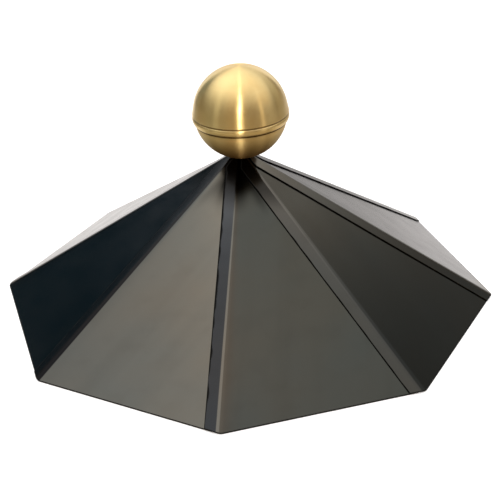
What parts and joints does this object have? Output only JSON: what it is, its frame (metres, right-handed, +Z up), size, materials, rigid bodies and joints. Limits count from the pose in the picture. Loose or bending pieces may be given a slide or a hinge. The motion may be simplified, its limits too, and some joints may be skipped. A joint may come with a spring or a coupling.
{
  "type": "ridge cap",
  "caption": "Octagonal roof-apex cap of dark lapped sheet-metal panels with a brass ball finial, hollow and open below.",
  "frame": {"origin": "centre of the rim's plane, on the cap's axis", "axes": "+Z up along the axis through the ball, -Y towards the front panel"},
  "size_m": [0.512, 0.512, 0.2653],
  "materials": {
    "roof_sheet": "semi-gloss dark bronze-grey patinated sheet",
    "ball_brass": "satin, brushed round the axis"
  },
  "bodies": {
    "root": {"panel_front": "roof_sheet", "panel_front_right": "roof_sheet", "panel_right": "roof_sheet", "panel_back_right": "roof_sheet", "panel_back": "roof_sheet", "panel_back_left": "roof_sheet", "panel_left": "roof_sheet", "panel_front_left": "roof_sheet", "ball_upper_half": "ball_brass", "ball_lower_half": "ball_brass"}
  },
  "joints": []
}
